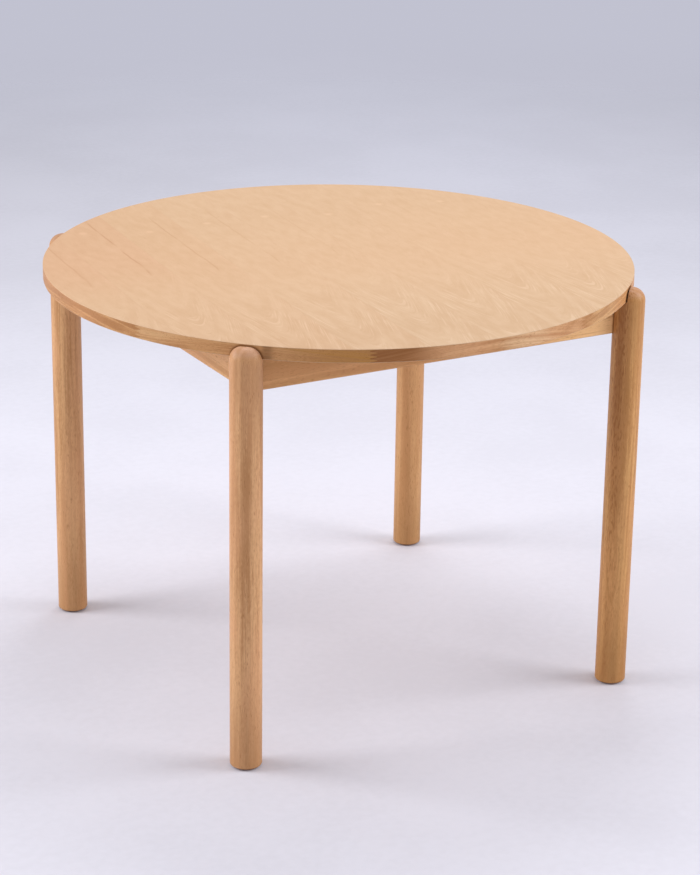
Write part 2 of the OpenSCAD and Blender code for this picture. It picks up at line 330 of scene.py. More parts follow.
print("the axes of the legs lie", round(leg_place, 4), "m to the side, and as far to the back or front")

# %% [markdown]
# ## The layers of the tree
#
# The legs, the aprons and the edge pieces are a warm, light hardwood with short open pores. A tree grows
# in layers round its pith, so the figure on any cut face follows from one thing: how far the point lies
# from the pith. The function below bends the pith a little along the board, measures the distance to it,
# and lets one noise decide how light each layer is. Where that noise passes its middle value, a thin
# dark line will end the layer.

# %% The layers of the tree
PITH_BEND = (30 * MM, 12 * MM)


def tree_layers(finish, along, across, through, pith, layer, seed):
    """How light the wood is at its distance from the pith. layer is about how thick a layer is."""
    bend = finish.noise(along * 1.7, seed) - 0.5
    aside = across - pith[0] + bend * PITH_BEND[0]
    below = through - pith[1] + bend * PITH_BEND[1]
    depth = (aside * aside + below * below) ** 0.5
    return finish.noise(depth / layer, seed, along * 1.5, detail=3.0)


# %% [markdown]
# ## The marks of solid wood
#
# On top of the layers come the marks that the eye expects, and all of them are noise that is drawn out
# along the grain. Soft streaks run down the board, fine fibres lie in them, and a short mottle keeps the
# faces from looking combed. The hue drifts slowly between rosy and straw. Pores are short dark dashes
# that come in groups. Where a face cuts across the fibres, the end grain takes the lacquer in another
# tone.
#
# Every stroke has two rates, which are changes per metre across the grain and along it. So a fibre is
# about a millimetre wide and five centimetres long, and a streak is a centimetre wide and forty long.

# %% Solid wood
LACQUER_ROUGHNESS = 0.44
LACQUER_SPECULAR = 0.3


def hardwood(name, distances, grain, seed, tones, pith, layer=4 * MM, figure=1.0,
             cut_range=(0.05, 0.65), patches=(), shadow=3 * MM):
    """Lacquered hardwood. distances gives a point's place along, across and through its board.

    tones are the light and the dark of the layers and the tone of cut fibres, and figure is how
    strongly the layers show. Fibres cut more steeply than cut_range take the third tone. Each patch
    is a tone and a function that gives its share at a point. shadow is how far the wood is darkened
    beside a leg, and None on the legs themselves.
    """
    light, dark, cut_tone = tones
    finish = Finish(name)
    along, across, through = distances(finish)

    def strokes(rate_across, rate_along, detail=1.0):
        """Noise drawn out along the grain."""
        return finish.noise(across * rate_across, through * rate_across, along * rate_along + seed, detail)

    layers = tree_layers(finish, along, across, through, pith, layer, seed)
    line = 1 - (layers - 0.5).size().between(0.0, 0.045)
    streak = strokes(75, 2.5, detail=2.0)
    fibre = strokes(1100, 20)
    mottle = strokes(430, 120, detail=2.0)
    drift = strokes(16, 5)
    pores = strokes(1500, 105).between(0.53, 0.68)
    groups = strokes(260, 42, detail=2.0).between(0.44, 0.66)

    tone = 0.5 + (layers - 0.5) * (2.6 * figure) + (fibre - 0.5) * 1.2
    tone = tone + (streak - 0.5) * (2.0 + 0.9 * figure) + (mottle - 0.5) * 0.8
    body = finish.blend(tone.between(0.0, 1.0), dark, light)
    hued = finish.blend(drift.between(0.38, 0.62) * 0.45, body, tinted(light, ROSY))
    normal = finish.add("ShaderNodeNewGeometry", output="Normal")
    cut = finish.along(grain, normal).size()
    body = finish.blend(cut.between(*cut_range) * 0.75, hued, cut_tone)

    for patch_tone, share in patches:
        ragged = (layers - 0.5) * 0.9 + (streak - 0.5) * 0.6
        mask = (share(finish, along, across, through) + ragged).between(0.0, 1.0)
        body = finish.blend(mask, body, patch_tone)
    lined = finish.blend(line * (0.45 * figure), body, dark)
    marked = finish.blend(pores * (0.15 + groups * 0.60), lined, tinted(dark, DUSKY))

    # Painted shade on the bevels that look down and beside the legs, in the dark tone seen twice through
    # DUSKY.
    painted_shade = lower_arris(finish, normal) * 0.6
    if shadow:
        painted_shade = painted_shade + near_leg(finish, shadow)
    met = finish.blend(painted_shade, marked, tinted(tinted(dark, DUSKY), DUSKY))
    return finish.surface(
        Base_Color=met,
        Roughness=LACQUER_ROUGHNESS + pores * 0.2 + (fibre - 0.5) * 0.1 + painted_shade * 0.6,
        Normal=finish.bump(fibre * 0.3 - pores, 0.25, 0.06 * MM),
        Specular_IOR_Level=LACQUER_SPECULAR)


# %% [markdown]
# ## The leaves of the face veneer
#
# The top is covered with nine leaves of veneer, cut one after another from the same block and laid side
# by side, each slid over without turning. This is a slip match, and it has a plain sign: the same flame
# figure comes back in every leaf. A flame is what a flat knife finds in a tree that gets thinner with
# height: nested curves round the heart of the leaf, pointed towards the front of the table, and nearly
# straight lines towards the back.
#
# The leaves lie at a small angle to the table, and their joints are measured from the frame.

# %% Measure the leaves
GRAIN_TILT = math.radians(5)
LEAVES = 9
grain = Vector((math.sin(GRAIN_TILT), math.cos(GRAIN_TILT), 0.0))
side = Vector((math.cos(GRAIN_TILT), -math.sin(GRAIN_TILT), 0.0))


def reach(node, direction):
    """The least and the greatest distance that a node's points have in a direction."""
    distances = [vertex.co.dot(direction) for vertex in nodes[node].data.vertices]
    return min(distances), max(distances)


joints = [reach(f"veneer_leaf_{leaf}", side)[1] for leaf in range(1, LEAVES)]
leaf_width = joints[1] - joints[0]
print("veneer leaves", round(leaf_width, 4), "m wide, first joint at", round(joints[0], 4), "m")

# %% [markdown]
# ## The flames
#
# The flame is a hyperbola: the distance to the heart of the tree, less what the tree's taper takes away.
# Fine dark and pale strokes follow it. They are strongest at the front edge, and each one is broken
# along its length, because its noise changes with two distances and not with one.

# %% Draw the flames
VENEER_LIGHT = colour(0.640, 0.421, 0.257)
VENEER_LINE = colour(0.565, 0.346, 0.193)
VENEER_STROKE = colour(0.69, 0.470, 0.302)
KNIFE_DEPTH = 18 * MM
TAPER = 0.17


def flames(finish, leaf, across, along, heart, wave, fibre):
    ring = (heart * heart + KNIFE_DEPTH ** 2) ** 0.5 - along * TAPER + wave * (12 * MM)
    front = 1 - along.between(-0.45, 0.05)
    rows = finish.noise(along * 5.5, 7.7).between(0.38, 0.60)
    lines = finish.noise(ring * 460, along * 15, leaf * 0.1, detail=1.5)
    broad = finish.noise(ring * 70, along * 7, leaf * 0.1 + 3) - 0.5
    mottle = finish.noise(across * 60, along * 25, leaf, detail=2.0) - 0.5
    patches = finish.noise(across * 40, along * 12, leaf + 0.3, detail=2.0).between(0.36, 0.58)
    strength = (0.15 + front * 0.85) * (0.35 + rows * 0.65) * patches
    tone = 0.5 + broad * (0.3 + 0.8 * front) + mottle * 0.7 + fibre * 0.35
    body = finish.blend(tone.between(0.0, 1.0), VENEER_LINE, VENEER_LIGHT)
    darker = finish.blend((1 - lines.between(0.34, 0.50)) * strength * 0.85, body, VENEER_LINE)
    return finish.blend(lines.between(0.53, 0.66) * strength * 0.62, darker, VENEER_STROKE)


# %% [markdown]
# ## Marks that come back in every leaf
#
# At the back a thin dark line shows where the knife ran along the heart. It is strongest in the second
# leaf and fades from leaf to leaf, as the knife went deeper into the block. Beside it lies the pale spot
# of a small bud.
#
# The leaves don't have quite the same tone either: the first three are rosier. The back of the top has a
# little painted shade, and the front of the later leaves a little painted sheen.

# %% Mark and tint a leaf
KNIFE_LINE = colour(0.46, 0.235, 0.105)
LINE_ENDS = (40 * MM, 350 * MM)
LINE_FADE = 60 * MM
STRONGEST_LEAF = 2
BUD_PLACE = (-7 * MM, 300 * MM)
BACK_PAINTED_SHADE = colour(0.955, 0.975, 0.985)
FRONT_PAINTED_SHEEN = colour(1.0, 1.035, 1.06)
FIRST_LEAVES = {1: colour(0.99, 0.92, 0.90), 2: colour(0.99, 0.93, 0.91), 3: colour(0.995, 0.97, 0.95)}


def knife_line(finish, leaf, along, heart, wave, body):
    start, end = LINE_ENDS
    sway = finish.noise(along * 22, leaf * 3.1) - 0.5
    off = (heart + wave * (6 * MM) + sway * (5 * MM)).size()
    on_line = 1 - off.between(0.7 * MM, 2.6 * MM)
    inside = along.between(start - LINE_FADE, start) * (1 - along.between(end, end + LINE_FADE))
    faint = finish.noise(along * 14, leaf * 1.9).between(0.25, 0.52)
    strength = 0.52 * 0.68 ** abs(leaf - STRONGEST_LEAF)
    return finish.blend(on_line * inside * faint * strength, body, KNIFE_LINE)


def bud(finish, across, along, body):
    aside, beyond = across - BUD_PLACE[0], along - BUD_PLACE[1]
    off = (aside ** 2.0 + beyond ** 2.0) ** 0.5
    return finish.blend((1 - off.between(2 * MM, 12 * MM)) * 0.6, body, shade(VENEER_LIGHT, 1.07))


def leaf_tints(finish, leaf, along, body):
    front_share = min(1.0, max(0.0, leaf / 2 - 1.5))
    # Painted shade darkens the back of the top, and painted sheen pales the front of the later leaves.
    body = finish.blend(along.between(-0.10, 0.45), body, BACK_PAINTED_SHADE, "MULTIPLY")
    body = finish.blend(along.between(0.0, -0.40) * front_share, body, FRONT_PAINTED_SHEEN, "MULTIPLY")
    if leaf in FIRST_LEAVES:
        body = finish.blend(along.between(-0.15, 0.15), body, FIRST_LEAVES[leaf], "MULTIPLY")
    return body


# %% [markdown]
# ## The face veneer as a whole
#
# Each leaf slips a little along its neighbour, which a sine of its number gives. The heart of the figure
# leans across the leaf towards the front. Open pores are the last mark, finer here than in the solid
# wood, and the lacquer over the veneer is duller than the one on the legs.

# %% Dress the leaves
HEART_PLACE = 20 * MM
HEART_LEAN = 0.07
LEAN_END = 50 * MM
VENEER_ROUGHNESS = 0.62


def face_veneer(leaf):
    finish = Finish(f"face_veneer_{leaf}")
    middle = joints[0] + (leaf - 1.5) * leaf_width
    slip = 18 * MM * math.sin(2.4 * leaf)
    across = finish.along(side) - middle
    along = finish.along(grain) + slip
    heart = across - HEART_PLACE - along.math("MINIMUM", LEAN_END) * HEART_LEAN
    wave = finish.noise(across * 9, along * 5, leaf * 0.15) - 0.5
    fibre = finish.noise(across * 900, along * 22, leaf) - 0.5
    pores = finish.noise(across * 950, along * 90, leaf + 0.5).between(0.62, 0.75)
    body = flames(finish, leaf, across, along, heart, wave, fibre)
    body = knife_line(finish, leaf, along, heart, wave, body)
    body = bud(finish, across, along, body)
    body = finish.blend(pores * 0.12, body, shade(VENEER_LINE, 0.7))
    return finish.surface(
        Base_Color=leaf_tints(finish, leaf, along, body),
        Roughness=VENEER_ROUGHNESS + pores * 0.1 + fibre * 0.08,
        Normal=finish.bump(fibre * 0.4 - pores, 0.15, 0.05 * MM),
        Specular_IOR_Level=LACQUER_SPECULAR)


def dress(node, material):
    """Gives a node of the frame its finish, in every slot that its mesh has."""
    slots = nodes[node].data.materials
    slots.clear()
    slots.append(material)


for leaf in range(1, LEAVES + 1):
    dress(f"veneer_leaf_{leaf}", face_veneer(leaf))
print("dressed", LEAVES, "leaves")

# %% [markdown]
# ## The edge pieces
#
# Eight curved pieces of solid wood, joined by fingers, run round the core. Each was sawn from a straight
# board, so its grain is straight while the piece is curved: in the middle the fibres run with the rim,
# and towards both ends the rim cuts across them, where the wood looks darker. The layers of the tree
# stand at half a right angle in these boards. The curved rim leaves one layer after another on its way
# to the ends, so the figure on it is a row of low arches. Turning the board to the middle angle of each
# piece gives all of that for nothing.
#
# The pieces come from different boards, so each has its own depth of tone, and some have paler or darker
# patches. One of them starts dark at its first finger joint, where the board reached the heartwood. A dark
# patch on the front left piece is a painted shadow of the head of the leg beside it.

# %% Tones of the edge pieces
EDGE_TONES = [colour(0.66, 0.36, 0.158), colour(0.44, 0.20, 0.070), colour(0.40, 0.185, 0.058)]
EDGE_LAYER = 3.6 * MM
EDGE_TINTS = {
    "front": (1.08, 1.10, 1.20),
    "front_left": (0.93, 0.91, 0.84),
    "left": (0.93, 0.90, 0.84),
    "front_right": (0.94, 0.91, 0.82),
    "back": (1.0, 0.98, 0.95),
    "right": (0.97, 0.95, 0.92),
}
PLAIN = (1.0, 1.0, 1.0)
EDGE_PATCHES = {
    "front": [
        (colour(0.80, 0.55, 0.32), lengthwise(0.45, (-10, 40), (150, 90))),
        (colour(0.31, 0.115, 0.028), lengthwise(0.95, (-70, -170))),
    ],
    "front_left": [
        (colour(0.74, 0.46, 0.23), lengthwise(0.40, (-60, -170))),
        # Painted shadow that the head of the front left leg casts on the rim beside it.
        (colour(0.20, 0.09, 0.030), lengthwise(0.55, (20, 32), (52, 36))),
        (colour(0.49, 0.22, 0.042), lengthwise(0.50, (30, 150))),
    ],
    "front_right": [
        (colour(0.72, 0.45, 0.20), lengthwise(0.40, (-70, -110), (-190, -150))),
    ],
}
print(len(EDGE_TINTS), "edge pieces have a tint of their own and", len(EDGE_PATCHES), "have patches")


# %% Dress the edge pieces
def edge_wood(number, place):
    angle = math.tau * number / len(RIM)
    out = Vector((math.cos(angle), math.sin(angle), 0.0))
    fibres = Vector((-math.sin(angle), math.cos(angle), 0.0))

    def distances(finish):
        return finish.along(fibres), finish.along(UP) - top_height, finish.along(out) - top_radius

    tones = [tinted(tone, EDGE_TINTS.get(place, PLAIN)) for tone in EDGE_TONES]
    pith = ((150 + 30 * math.sin(3 * number)) * MM, -(95 + 20 * math.cos(2 * number)) * MM)
    return hardwood(
        f"edge_wood_{place}", distances, fibres, 3.1 * number, tones, pith, layer=EDGE_LAYER,
        figure=1.2, patches=EDGE_PATCHES.get(place, ()), shadow=6 * MM)


for number, place in enumerate(RIM):
    dress(f"lipping_{place}", edge_wood(number, place))
print("dressed", len(RIM), "edge pieces")

# %% [markdown]
# ## The legs
#
# Each leg is turned from one square of wood, so the layers of the tree show on it as long bands that
# close into a point where the surface leaves a layer. The pith lies well outside the leg, on another
# side for each leg, and each leg has a seed of its own. The crown shows end grain, which is rosy here,
# and browner on one leg.
#
# All four legs have painted shade near the floor and under the crown, where less light reaches them. One
# leg has a dark vein with short dashes round it, which fades to the foot. Both are patches, as on the edge
# pieces, so each is a function that gives a share at a point.

# %% Marks of the legs
VEIN_TURN = math.radians(-149)


def vein(finish, along, across, through):
    """The share of the vein. It lies on the side of the leg that VEIN_TURN gives, and sways."""
    off = across * -math.sin(VEIN_TURN) + through * math.cos(VEIN_TURN)
    facing = across * math.cos(VEIN_TURN) + through * math.sin(VEIN_TURN)
    sway = (finish.noise(along * 6, 4.0) - 0.5) * (10 * MM)
    aside = (off + sway).size()
    dashes = finish.noise(across * 420, through * 420, along * 75).between(0.50, 0.64)
    share = aside.between(13 * MM, 2 * MM) * 0.85 + aside.between(24 * MM, 8 * MM) * dashes * 0.75
    height = 0.22 + along.between(0.0, top_height) * 0.66
    return share * facing.between(0.0, 10 * MM) * height


def painted_end_shade(finish, along, across, through):
    """The share of painted shade near the floor and under the crown."""
    return along.between(240 * MM, 0.0) * 0.55 + along.between(560 * MM, 700 * MM) * 0.42


# %% Dress the legs
LEG_LIGHT = colour(0.755, 0.43, 0.21)
LEG_DARK = colour(0.51, 0.245, 0.098)
LEG_CUT = colour(0.585, 0.33, 0.22)
LEG_TINTS = {
    "front_left": PLAIN,
    "front_right": (0.90, 0.85, 0.64),
    "back_left": (0.94, 0.957, 0.93),
    "back_right": (0.90, 0.91, 0.81),
}
LEG_CROWNS = {"back_left": shade(LEG_CUT, 0.72)}
LEG_SEEDS = {"back_right": 14.3, "back_left": 22.6, "front_left": 11.4, "front_right": 17.1}
LEG_SIGNS = {"back_right": (1, 1), "back_left": (-1, 1), "front_left": (-1, -1), "front_right": (1, -1)}
LEG_PITH = 70 * MM
LEG_LAYER = 5 * MM


def leg_wood(number, corner):
    sign_x, sign_y = LEG_SIGNS[corner]

    def distances(finish):
        across = finish.along(RIGHTWARD) - sign_x * leg_place
        through = finish.along(BACKWARD) - sign_y * leg_place
        return finish.along(UP), across, through

    light, dark = tinted(LEG_LIGHT, LEG_TINTS[corner]), tinted(LEG_DARK, LEG_TINTS[corner])
    turn = 1.3 + 1.9 * number
    pith = (LEG_PITH * math.cos(turn), LEG_PITH * math.sin(turn))
    # The first patch is painted shade at both ends of the leg.
    patches, figure = [(shade(dark, 0.87), painted_end_shade)], 0.45
    if corner == "front_right":
        patches.append((tinted(dark, DUSKY), vein))
        figure = 1.1
    return hardwood(
        f"leg_wood_{corner}", distances, UP, LEG_SEEDS[corner],
        (light, dark, LEG_CROWNS.get(corner, LEG_CUT)), pith, layer=LEG_LAYER, figure=figure,
        cut_range=(0.30, 0.72), patches=patches, shadow=None)


for number, corner in enumerate(CORNERS):
    dress(f"leg_{corner}", leg_wood(number, corner))
print("dressed", len(CORNERS), "legs")

# %% [markdown]
# ## The aprons and the corner blocks
#
# The aprons are straight boards, lacquered like the legs. The blocks behind the legs are never seen from
# a chair, so a paler and plainer wood does for them. A board's grain runs one way and its face is turned
# out another way. Those two directions and the board's middle are all that the wood has to know.

# %% Dress the aprons and the blocks
APRON_TONES = [colour(0.78, 0.435, 0.185), colour(0.60, 0.30, 0.105), colour(0.45, 0.22, 0.085)]
APRON_SAPWOOD_AND_PAINTED_LIGHT = colour(0.92, 0.56, 0.26)
BLOCK_TONES = [colour(0.66, 0.45, 0.26), colour(0.55, 0.36, 0.19), colour(0.45, 0.29, 0.15)]


def dress_board(node, wood, run, out, seed, tones, pith, patches=()):
    """Dresses a straight board whose grain runs one way and whose face is turned out another."""
    low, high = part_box(node)
    centre = (low + high) / 2
    axes = (run, run.cross(out), out)

    def distances(finish):
        return tuple(finish.along(axis) - axis.dot(centre) for axis in axes)

    dress(node, hardwood(wood, distances, run, seed, tones, pith, patches=patches))


for number, place in enumerate(SIDES):
    angle = math.tau * number / len(SIDES)
    out = Vector((round(math.cos(angle)), round(math.sin(angle)), 0))
    run = Vector((-out.y, out.x, 0))
    pith = (15 * MM * math.cos(number), -45 * MM)
    # A pale patch at the right end of the front apron: partly sapwood, partly painted light next to the leg.
    patches = [(APRON_SAPWOOD_AND_PAINTED_LIGHT, lengthwise(0.8, (60, 260)))] if place == "front" else ()
    dress_board(f"apron_{place}", f"apron_wood_{place}", run, out, 8.3 + number, APRON_TONES, pith, patches)

for number, corner in enumerate(CORNERS):
    sign_x, sign_y = LEG_SIGNS[corner]
    out = Vector((sign_x, sign_y, 0)).normalized()
    run = Vector((-sign_y, sign_x, 0)).normalized()
    pith = (5 * MM, -30 * MM)
    dress_board(f"corner_block_{corner}", f"block_wood_{corner}", run, out, 21.4 + number, BLOCK_TONES, pith)
print("dressed the aprons and the blocks")

# %% [markdown]
# ## The core
#
# The core is a fibre board, which shows no grain at all, only fine fibres that lie every way.

# %% Dress the core
CORE_TONES = (colour(0.36, 0.23, 0.13), colour(0.50, 0.35, 0.21))


def core_board():
    finish = Finish("core_board")
    x, y, z = (finish.along(axis) for axis in (RIGHTWARD, BACKWARD, UP))
    cloud = finish.noise(x * 400, y * 400, z * 900, detail=3.0)
    fibre = finish.noise(x * 1500, y * 1500, z * 2500, detail=2.0)
    body = finish.blend((cloud * 0.6 + fibre * 0.4).between(0.3, 0.7), *CORE_TONES)
    return finish.surface(
        Base_Color=body,
        Roughness=0.8 + (cloud - 0.5) * 0.2,
        Normal=finish.bump(fibre, 0.3, 0.1 * MM))


dress("top_core", core_board())
print("dressed the core")

# %% [markdown]
# ## The underside
#
# The veneer on the underside balances the one on the face, so that the top stays flat. It is a plainer
# veneer under a thin sealer, laid in wider sheets. Rounding the distance across down to whole sheets
# gives each sheet its number, and what is left over is the place inside it.

# %% Dress the underside
SHEET = 250 * MM
BACK_TONES = (colour(0.52, 0.31, 0.165), colour(0.64, 0.41, 0.235))
BACK_MARK = colour(0.33, 0.18, 0.09)


def back_veneer():
    finish = Finish("back_veneer")
    across, along = finish.along(side), finish.along(grain)
    number = (across / SHEET).math("FLOOR")
    inside = across - number * SHEET - SHEET / 2
    wave = finish.noise(across * 6, along * 3, 5.0) - 0.5
    ring = (inside * inside + 0.0004) ** 0.5 - along * 0.12 + wave * (16 * MM) + number * 0.3
    lines = finish.noise(ring * 110, 7.0, detail=2.0)
    fibre = finish.noise(across * 900, along * 22, 2.0)
    pores = finish.noise(across * 800, along * 80, 9.0).between(0.60, 0.74)
    joint = 1 - ((inside.size() - SHEET / 2).size()).between(0.1 * MM, 0.5 * MM)
    body = finish.blend((lines * 0.7 + fibre * 0.3).between(0.3, 0.7), *BACK_TONES)
    return finish.surface(
        Base_Color=finish.blend(pores * 0.3 + joint * 0.4, body, BACK_MARK),
        Roughness=0.6 + pores * 0.15,
        Normal=finish.bump(fibre * 0.4 - pores, 0.25, 0.08 * MM))


dress("underside_veneer", back_veneer())
print("dressed the underside")

# %% [markdown]
# ## Steel
#
# The bolts, nuts, washers, brackets and glide nails are zinc plated: a bright, slightly blue grey, with
# a fine crystal spangle and small scuffs. The wood screws are yellow passivated, which gives a thin film
# whose colour drifts from straw to a trace of green. One function makes both, because only the tones and
# the gloss differ.

# %% Dress the steel
def plated(name, tone, drift, roughness):
    """Plated steel: the tone drifts over a few millimetres, and fine scuffs change the gloss."""
    finish = Finish(name)
    x, y, z = (finish.along(axis) for axis in (RIGHTWARD, BACKWARD, UP))
    cloud = finish.noise(x * 180, y * 180, z * 180, detail=2.0)
    scuff = finish.noise(x * 2200, y * 900, z * 2200, detail=2.0)
    return finish.surface(
        Base_Color=finish.blend(cloud.between(0.3, 0.7), tone, drift),
        Metallic=1.0,
        Roughness=roughness + (scuff - 0.5) * 0.25 + (cloud - 0.5) * 0.2,
        Normal=finish.bump(scuff, 0.1, 0.02 * MM))


zinc = plated("bright_zinc", colour(0.60, 0.62, 0.65), colour(0.68, 0.69, 0.70), 0.36)
yellow_zinc = plated("yellow_zinc", colour(0.68, 0.50, 0.18), colour(0.62, 0.52, 0.26), 0.32)
for name in ["washers", "hex_nuts", "glide_nails", *(f"angle_brackets_{place}" for place in SIDES)]:
    dress(name, zinc)
for name in ["bracket_screws", *(f"block_screws_{corner}" for corner in CORNERS)]:
    dress(name, yellow_zinc)
print("dressed the steel")

# %% [markdown]
# ## Nylon
#
# The glides are dark brown nylon, moulded with a fine grain and scuffed dull and pale where they touch
# the floor.

# %% Dress the glides
NYLON_TONES = (colour(0.055, 0.032, 0.022), colour(0.13, 0.095, 0.075))


def nylon():
    finish = Finish("glide_nylon")
    x, y, z = (finish.along(axis) for axis in (RIGHTWARD, BACKWARD, UP))
    moulded = finish.noise(x * 2500, y * 2500, z * 2500, detail=1.0)
    wear = finish.noise(x * 160, y * 160, z * 160, detail=3.0)
    worn = (1 - z.between(0.1 * MM, 0.6 * MM)) * wear.between(0.4, 0.6)
    return finish.surface(
        Base_Color=finish.blend(worn * 0.5 + (wear - 0.5) * 0.3, *NYLON_TONES),
        Roughness=0.5 + worn * 0.25,
        Normal=finish.bump(moulded, 0.2, 0.03 * MM))


glide_nylon = nylon()
for corner in CORNERS:
    dress(f"glide_{corner}", glide_nylon)
print("dressed the glides")

# %% [markdown]
# ## A thread
#
# A hanger bolt has two threads on one shank. The end in the leg has a coarse, sharp wood thread that
# runs out in a point, and the other end has the fine thread of the nut. The frame carries these bolts as
# plain rods, which is all that a fastening needs in a drawing, but the tails that stick out of the nuts
# are in plain sight from below.
#
# A thread is a helix, and a helix can be built without any special tool. Each column of vertices runs
# the length of the bolt, and each column starts its threads a little later than the one before, so that
# the last column of a turn meets the first one a whole pitch further on. Where a thread begins or ends,
# its rows are squeezed into one plain ring, and the faces that get no width there are left out. The
# result is one closed skin.
#
# A kind of thread is a pitch and the rows of one turn: how far on each row lies, as a share of the
# pitch, and how far it stands up from the root to the crest.

# %% Build a threaded rod
COLUMNS = 18
NUT_THREAD = {"pitch": 1.25 * MM, "rows": [(0.0, 0.0), (0.44, 1.0), (0.56, 1.0)]}
WOOD_THREAD = {"pitch": 3.2 * MM, "rows": [(0.0, 0.0), (0.55, 0.0), (0.76, 1.0), (0.80, 1.0)]}


def stretch(points, place):
    """The height at a place on a line of (place, height) points."""
    for (start, low), (end, high) in zip(points, points[1:]):
        if place <= end:
            return low + (high - low) * max(0.0, place - start) / (end - start)
    return points[-1][1]


def threaded(shape, start, axis, length, root, crest, threads):
    """Adds one threaded bolt to a bmesh. root and crest give the two radii along it.

    threads are (first, last, kind), from the point to the end.
    """
    across = axis.orthogonal().normalized()
    other = axis.cross(across)
    known = {}

    def vertex(column, key, place, share):
        name = (column % COLUMNS, key)
        if name not in known:
            turn = math.tau * column / COLUMNS
            radius = stretch(root, place) + (stretch(crest, place) - stretch(root, place)) * share
            outward = across * math.cos(turn) + other * math.sin(turn)
            known[name] = shape.verts.new(start + axis * place + outward * radius)
        return known[name]

    def column_of(column, shift):
        """The vertices of one column. A shift of one turn makes the last column equal to the first."""
        line = [vertex(column, "point", 0.0, 0.0)]
        for number, (first, last, kind) in enumerate(threads):
            pitch = kind["pitch"]
            line.append(vertex(column, (number, "in"), first, 0.0))
            for turn in range(-1, math.ceil((last - first) / pitch) + 1):
                for row, (step, share) in enumerate(kind["rows"]):
                    place = first + pitch * (turn + step + column / COLUMNS)
                    if place <= first:
                        line.append(vertex(column, (number, "in"), first, 0.0))
                    elif place >= last:
                        line.append(vertex(column, (number, "out"), last, 0.0))
                    else:
                        line.append(vertex(column, (number, turn + shift, row), place, share))
            line.append(vertex(column, (number, "out"), last, 0.0))
        return line + [vertex(column, "end", length, 0.0)]

    for column in range(COLUMNS):
        here = column_of(column, 0)
        there = column_of(column + 1, 1 if column + 1 == COLUMNS else 0)
        for corners in zip(here, here[1:], there[1:], there):
            corners = list(dict.fromkeys(corners))
            if len(corners) > 2:
                shape.faces.new(corners)
    for key in ("point", "end"):
        shape.faces.new([known[column, key] for column in range(COLUMNS)])


# %% [markdown]
# ## The hanger bolts
#
# Each corner has two bolts, one above the other, and they are one node of the frame. The plain rods are
# measured, so that the threaded ones lie in the same place and have the same length. The lines `root`
# and `crest` then say how thick the steel is at the bottom and at the top of the thread.

# %% Cut the threads
BOLT_RADIUS = 4.0 * MM
NUT_ROOT = 3.39 * MM
END_RADIUS = 3.1 * MM
POINT_RADIUS = 0.1 * MM
NUT_LENGTH = 42 * MM
WOOD_LENGTH = 36 * MM
SMOOTH_ANGLE = math.radians(35)


def hanger_bolt(shape, rod, inward):
    """Adds the threaded bolt that stands for the points of a plain rod, and returns its length."""
    low, high = min(p.z for p in rod), max(p.z for p in rod)
    start, end = min(p.dot(inward) for p in rod), max(p.dot(inward) for p in rod)
    length = end - start
    nut_end, wood_end = length - NUT_LENGTH, WOOD_LENGTH
    root = [
        (0.0, POINT_RADIUS), (7 * MM, 2.8 * MM), (wood_end - 3 * MM, 2.9 * MM), (wood_end, BOLT_RADIUS),
        (nut_end, BOLT_RADIUS), (nut_end + MM, NUT_ROOT), (length - MM, NUT_ROOT), (length, END_RADIUS)]
    crest = [
        (0.0, POINT_RADIUS), (9 * MM, BOLT_RADIUS), (length - MM, BOLT_RADIUS), (length, END_RADIUS)]
    threads = [(0.5 * MM, wood_end, WOOD_THREAD), (nut_end, length - 0.1 * MM, NUT_THREAD)]
    place = inward * start + UP * (low + high) / 2
    threaded(shape, place, inward, length, root, crest, threads)
    return length


def hanger_bolts(corner):
    """The two threaded bolts of a corner, measured from the plain ones that they stand for."""
    sign_x, sign_y = LEG_SIGNS[corner]
    inward = -Vector((sign_x, sign_y, 0)).normalized()
    points = [vertex.co for vertex in nodes[f"hanger_bolts_{corner}"].data.vertices]
    middle = sum((point.z for point in points), 0.0) / len(points)
    shape = bmesh.new()
    for rod in ([p for p in points if p.z > middle], [p for p in points if p.z < middle]):
        length = hanger_bolt(shape, rod, inward)
    bmesh.ops.recalc_face_normals(shape, faces=shape.faces)
    mesh = bpy.data.meshes.new(f"threaded_bolts_{corner}")
    shape.to_mesh(mesh)
    shape.free()
    mesh.shade_smooth()
    mesh.set_sharp_from_angle(angle=SMOOTH_ANGLE)
    mesh.materials.append(zinc)
    piece = bpy.data.objects.new(mesh.name, mesh)
    bpy.context.scene.collection.objects.link(piece)
    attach(piece, "root")
    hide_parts(f"hanger_bolts_{corner}")
    return len(mesh.polygons), length


for corner in CORNERS:
    faces, length = hanger_bolts(corner)
print("a pair of hanger bolts,", round(length / MM, 1), "mm long, has", faces, "faces")

# %% [markdown]
# ## The floor
#
# The studio floor is a pale lavender grey, like painted concrete, with faint clouds in it. Far from the
# table it melts into the backdrop, as a floor does where it curves up into a studio wall. A share of
# clear shader that grows with the distance from the table gives that without any wall. From underneath
# the whole floor is clear to the eye, so the underside of the table can be looked at while the light
# still comes from above only.

# %% Make the floor
FLOOR_RADIUS = 8.0
FLOOR_FADE = (3.2, 6.0)
FLOOR_TONES = (colour(0.715, 0.705, 0.79), colour(0.675, 0.665, 0.745))


